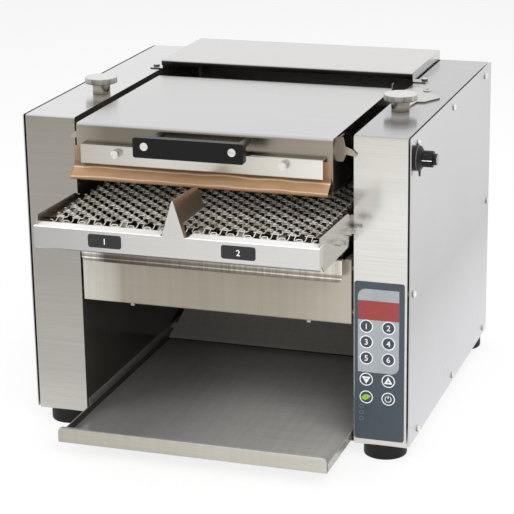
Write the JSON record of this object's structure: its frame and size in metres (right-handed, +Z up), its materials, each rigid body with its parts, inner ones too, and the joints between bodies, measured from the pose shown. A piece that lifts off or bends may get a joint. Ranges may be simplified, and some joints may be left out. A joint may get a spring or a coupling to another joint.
{
  "type": "conveyor toaster",
  "caption": "Counter-top conveyor toaster with side towers, wire mesh belt, tilting heated head, height knobs, crumb and discharge trays and a keypad.",
  "frame": {"origin": "centre of the whole machine's outline, on the counter under its feet", "axes": "+X to the right seen from the front, +Y from the infeed to the back, +Z up"},
  "size_m": [0.6438, 0.732, 0.529],
  "materials": {
    "tower_steel": "satin",
    "panel_steel": "satin",
    "head_steel": "satin",
    "bright_steel": "polished",
    "dark_steel": "satin",
    "foot_rubber": "matte",
    "platen_alloy": "satin",
    "release_cloth": "satin",
    "wire": "satin",
    "black_plastic": "matte",
    "keypad_film": "satin",
    "key_film": "satin",
    "board": "satin",
    "motor_paint": "satin",
    "bronze": "satin",
    "element": "matte"
  },
  "bodies": {
    "base": {"tower_left": "tower_steel", "tower_right": "tower_steel", "side_panel_left": "panel_steel", "side_panel_right": "panel_steel", "panel_screws": "bright_steel", "base_pan": "tower_steel", "rear_panel": "tower_steel", "rear_cover": "panel_steel", "lower_front_panel": "tower_steel", "feet": "foot_rubber", "lock_screw": "bright_steel", "infeed_front": "panel_steel", "infeed_side_left": "panel_steel", "infeed_side_right": "panel_steel", "infeed_bolts": "bright_steel", "wire_belt": "wire", "shaft_bearings": "bronze", "lane_divider": "panel_steel", "tray_rails": "tower_steel", "return_chute": "tower_steel", "lower_element": "element", "gear_motor": "motor_paint", "drive_chain": "dark_steel", "keypad_panel": "keypad_film", "dial_bezel": "black_plastic", "control_board": "board", "fan_frame": "black_plastic", "cord_gland": "black_plastic"},
    "lift": {"lift_frame": "dark_steel"},
    "head": {"head_housing": "head_steel", "clamp_bar": "panel_steel", "handle_bar": "black_plastic", "handle_posts": "black_plastic", "handle_screws": "bright_steel", "release_sheet": "release_cloth", "platen": "platen_alloy", "upper_element": "element", "height_pointers": "panel_steel"},
    "knob_left": {"adjust_knob_left": "bright_steel"},
    "knob_right": {"adjust_knob_right": "bright_steel"},
    "clamp_left": {"clamp_screw_left": "bright_steel"},
    "clamp_right": {"clamp_screw_right": "bright_steel"},
    "lock": {"lock_plate": "panel_steel"},
    "crumb": {"crumb_tray": "tower_steel"},
    "discharge": {"discharge_tray": "tower_steel"},
    "drive": {"drive_shaft": "bright_steel"},
    "idler": {"idler_shaft": "bright_steel"},
    "motor_wheel": {"motor_sprocket": "bright_steel"},
    "fan": {"fan_rotor": "black_plastic"},
    "dial": {"side_dial": "black_plastic"},
    "key_1_body": {"key_1": "key_film"},
    "key_2_body": {"key_2": "key_film"},
    "key_3_body": {"key_3": "key_film"},
    "key_4_body": {"key_4": "key_film"},
    "key_5_body": {"key_5": "key_film"},
    "key_6_body": {"key_6": "key_film"},
    "key_down_body": {"key_down": "key_film"},
    "key_up_body": {"key_up": "key_film"},
    "key_eco_body": {"key_eco": "key_film"},
    "key_power_body": {"key_power": "key_film"}
  },
  "joints": [
    {"name": "height_slide", "type": "slide", "parent": "base", "child": "lift", "axis": [0, 0, 1], "range_m": [-0.008, 0.012]},
    {"name": "head_tilt", "type": "hinge", "parent": "lift", "child": "head", "pos_m": [-0.01505, 0.126, 0.473], "axis": [-1, 0, 0], "range_deg": [0, 55]},
    {"name": "knob_left_turn", "type": "hinge", "parent": "base", "child": "knob_left", "pos_m": [-0.26005, -0.03, 0.503], "axis": [0, 0, 1], "range_deg": [-870, 580]},
    {"name": "knob_right_turn", "type": "hinge", "parent": "base", "child": "knob_right", "pos_m": [0.22995, -0.03, 0.503], "axis": [0, 0, 1], "range_deg": [-870, 580]},
    {"name": "clamp_left_turn", "type": "hinge", "parent": "head", "child": "clamp_left", "pos_m": [-0.14505, -0.251, 0.466], "axis": [0, -1, 0], "range_deg": [0, 720]},
    {"name": "clamp_right_turn", "type": "hinge", "parent": "head", "child": "clamp_right", "pos_m": [0.11495, -0.251, 0.466], "axis": [0, -1, 0], "range_deg": [0, 720]},
    {"name": "lock_swing", "type": "hinge", "parent": "base", "child": "lock", "pos_m": [0.24045, 0.1, 0.503], "axis": [0, 0, 1], "range_deg": [0, 25]},
    {"name": "crumb_pull", "type": "slide", "parent": "base", "child": "crumb", "axis": [0, -1, 0], "range_m": [0, 0.36]},
    {"name": "discharge_pull", "type": "slide", "parent": "base", "child": "discharge", "axis": [0, -1, 0], "range_m": [0, 0.4]},
    {"name": "belt_drive", "type": "hinge", "parent": "base", "child": "drive", "pos_m": [-0.01505, 0.201, 0.368], "axis": [1, 0, 0], "continuous": true},
    {"name": "idler_spin", "type": "hinge", "parent": "base", "child": "idler", "pos_m": [-0.01505, -0.324, 0.368], "axis": [1, 0, 0], "continuous": true},
    {"name": "motor_spin", "type": "hinge", "parent": "base", "child": "motor_wheel", "pos_m": [-0.26605, 0.201, 0.203], "axis": [1, 0, 0], "continuous": true},
    {"name": "fan_spin", "type": "hinge", "parent": "base", "child": "fan", "pos_m": [0.24445, 0.341, 0.323], "axis": [0, 1, 0], "continuous": true},
    {"name": "dial_turn", "type": "hinge", "parent": "base", "child": "dial", "pos_m": [0.28945, -0.175, 0.469], "axis": [1, 0, 0], "range_deg": [-135, 135]},
    {"name": "key_1_press", "type": "slide", "parent": "base", "child": "key_1_body", "axis": [0, 1, 0], "range_m": [0, 0.0005], "stiffness_N_per_m": 800},
    {"name": "key_2_press", "type": "slide", "parent": "base", "child": "key_2_body", "axis": [0, 1, 0], "range_m": [0, 0.0005], "stiffness_N_per_m": 800},
    {"name": "key_3_press", "type": "slide", "parent": "base", "child": "key_3_body", "axis": [0, 1, 0], "range_m": [0, 0.0005], "stiffness_N_per_m": 800},
    {"name": "key_4_press", "type": "slide", "parent": "base", "child": "key_4_body", "axis": [0, 1, 0], "range_m": [0, 0.0005], "stiffness_N_per_m": 800},
    {"name": "key_5_press", "type": "slide", "parent": "base", "child": "key_5_body", "axis": [0, 1, 0], "range_m": [0, 0.0005], "stiffness_N_per_m": 800},
    {"name": "key_6_press", "type": "slide", "parent": "base", "child": "key_6_body", "axis": [0, 1, 0], "range_m": [0, 0.0005], "stiffness_N_per_m": 800},
    {"name": "key_down_press", "type": "slide", "parent": "base", "child": "key_down_body", "axis": [0, 1, 0], "range_m": [0, 0.0005], "stiffness_N_per_m": 800},
    {"name": "key_up_press", "type": "slide", "parent": "base", "child": "key_up_body", "axis": [0, 1, 0], "range_m": [0, 0.0005], "stiffness_N_per_m": 800},
    {"name": "key_eco_press", "type": "slide", "parent": "base", "child": "key_eco_body", "axis": [0, 1, 0], "range_m": [0, 0.0005], "stiffness_N_per_m": 800},
    {"name": "key_power_press", "type": "slide", "parent": "base", "child": "key_power_body", "axis": [0, 1, 0], "range_m": [0, 0.0005], "stiffness_N_per_m": 800}
  ],
  "couplings": [
    {"joint": "knob_left_turn", "follows": "height_slide", "rad_per_m": -1256.6},
    {"joint": "knob_right_turn", "follows": "height_slide", "rad_per_m": -1256.6},
    {"joint": "idler_spin", "follows": "belt_drive", "ratio": 1},
    {"joint": "motor_spin", "follows": "belt_drive", "ratio": 1.5}
  ]
}
